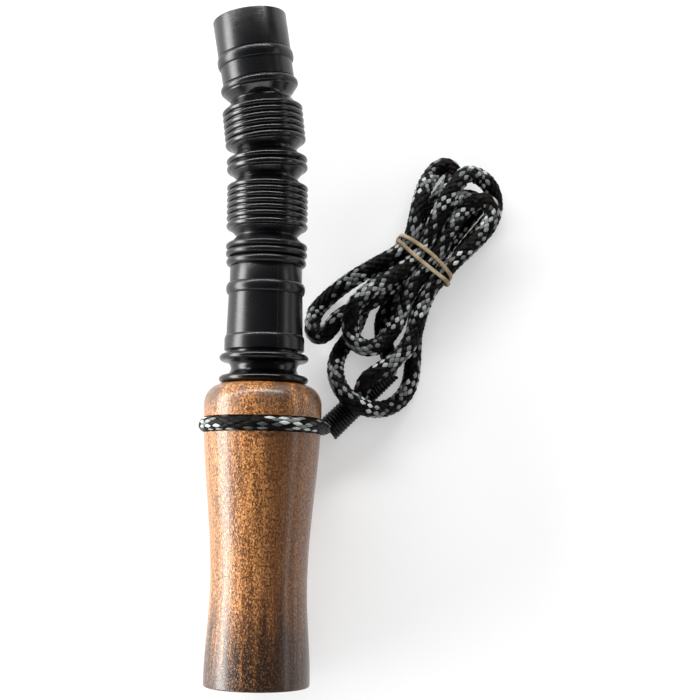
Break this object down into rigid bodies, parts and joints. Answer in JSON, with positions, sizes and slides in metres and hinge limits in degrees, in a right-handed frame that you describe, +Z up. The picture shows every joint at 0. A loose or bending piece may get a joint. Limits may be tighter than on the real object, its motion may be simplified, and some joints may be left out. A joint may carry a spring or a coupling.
{
  "type": "deer grunt call",
  "caption": "Deer grunt call: turned wooden barrel, reed housing that pulls out, ribbed hose that bends and stretches, and a braided lanyard folded into a hank with a rubber band.",
  "frame": {"origin": "centre of the barrel's mouth face, on the barrel's axis", "axes": "+Y along the barrel towards the hose, +Z up from the surface that the call lies on, +X to the side that the lanyard leaves"},
  "size_m": [0.0936, 0.2083, 0.0382],
  "materials": {
    "wood": "stained hardwood with fine grain under a satin lacquer, scorched darker at the mouth",
    "black_plastic": "black moulded plastic with a soft gloss",
    "seal_rubber": "black rubber",
    "board_plastic": "moulded ivory plastic",
    "reed_film": "smooth translucent plastic strip",
    "wedge_plastic": "plain brown plastic",
    "tuning_rubber": "red elastic rubber",
    "cord": "black braid flecked with white, grey-green and brown",
    "thread": "black waxed thread with a slight shine",
    "band_rubber": "matt tan rubber"
  },
  "bodies": {
    "barrel": {"barrel": "wood"},
    "insert": {"reed_housing": "black_plastic", "housing_o_rings": "seal_rubber", "tone_board": "board_plastic", "reed_root": "reed_film", "reed_wedge": "wedge_plastic"},
    "reed": {"reed": "reed_film"},
    "tuning_ring": {"tuning_ring": "tuning_rubber"},
    "hose_base": {"hose_lower_cuff": "black_plastic", "hose_neck_1": "black_plastic"},
    "hose_lower": {"hose_ribs_lower": "black_plastic", "hose_neck_2": "black_plastic"},
    "hose_middle": {"hose_ribs_middle": "black_plastic", "hose_neck_3": "black_plastic"},
    "hose_upper": {"hose_ribs_upper": "black_plastic", "hose_neck_4": "black_plastic"},
    "hose_end": {"hose_upper_cuff": "black_plastic"},
    "lanyard": {"lanyard_noose": "cord", "whipping": "thread", "lanyard_leg_a": "cord", "lanyard_leg_b": "cord", "lanyard_hank": "cord", "rubber_band": "band_rubber"}
  },
  "joints": [
    {"name": "insert_pull", "type": "slide", "parent": "barrel", "child": "insert", "axis": [0, 1, 0], "range_m": [0, 0.03]},
    {"name": "reed_flex", "type": "hinge", "parent": "insert", "child": "reed", "pos_m": [0, 0.062, 0], "axis": [-1, 0, 0], "range_deg": [-1, 1], "stiffness_Nm_per_rad": 0.01},
    {"name": "tuning_ring_slide", "type": "slide", "parent": "insert", "child": "tuning_ring", "axis": [0, 1, 0], "range_m": [-0.003, 0.003]},
    {"name": "hose_pull", "type": "slide", "parent": "insert", "child": "hose_base", "axis": [0, 1, 0], "range_m": [0, 0.016]},
    {"name": "neck_1_bend", "type": "hinge", "parent": "hose_base", "child": "hose_lower", "pos_m": [0, 0.1365, 0], "axis": [0, 0, 1], "range_deg": [-15, 15], "deforming": ["hose_neck_1"]},
    {"name": "neck_2_bend", "type": "hinge", "parent": "hose_lower", "child": "hose_middle", "pos_m": [-0.00016, 0.1546, 0], "axis": [0, 0, 1], "range_deg": [-15, 15], "deforming": ["hose_neck_2"]},
    {"name": "neck_3_stretch", "type": "slide", "parent": "hose_middle", "child": "hose_upper", "axis": [-0.0915, 0.9958, 0], "range_m": [-0.002, 0.004], "deforming": ["hose_neck_3"]},
    {"name": "neck_4_bend", "type": "hinge", "parent": "hose_upper", "child": "hose_end", "pos_m": [-0.00276, 0.18016, 0], "axis": [0, 0, 1], "range_deg": [-15, 15], "deforming": ["hose_neck_4"]},
    {"name": "lanyard_turn", "type": "hinge", "parent": "barrel", "child": "lanyard", "pos_m": [0, 0.078, 0], "axis": [0, -1, 0], "continuous": true}
  ]
}
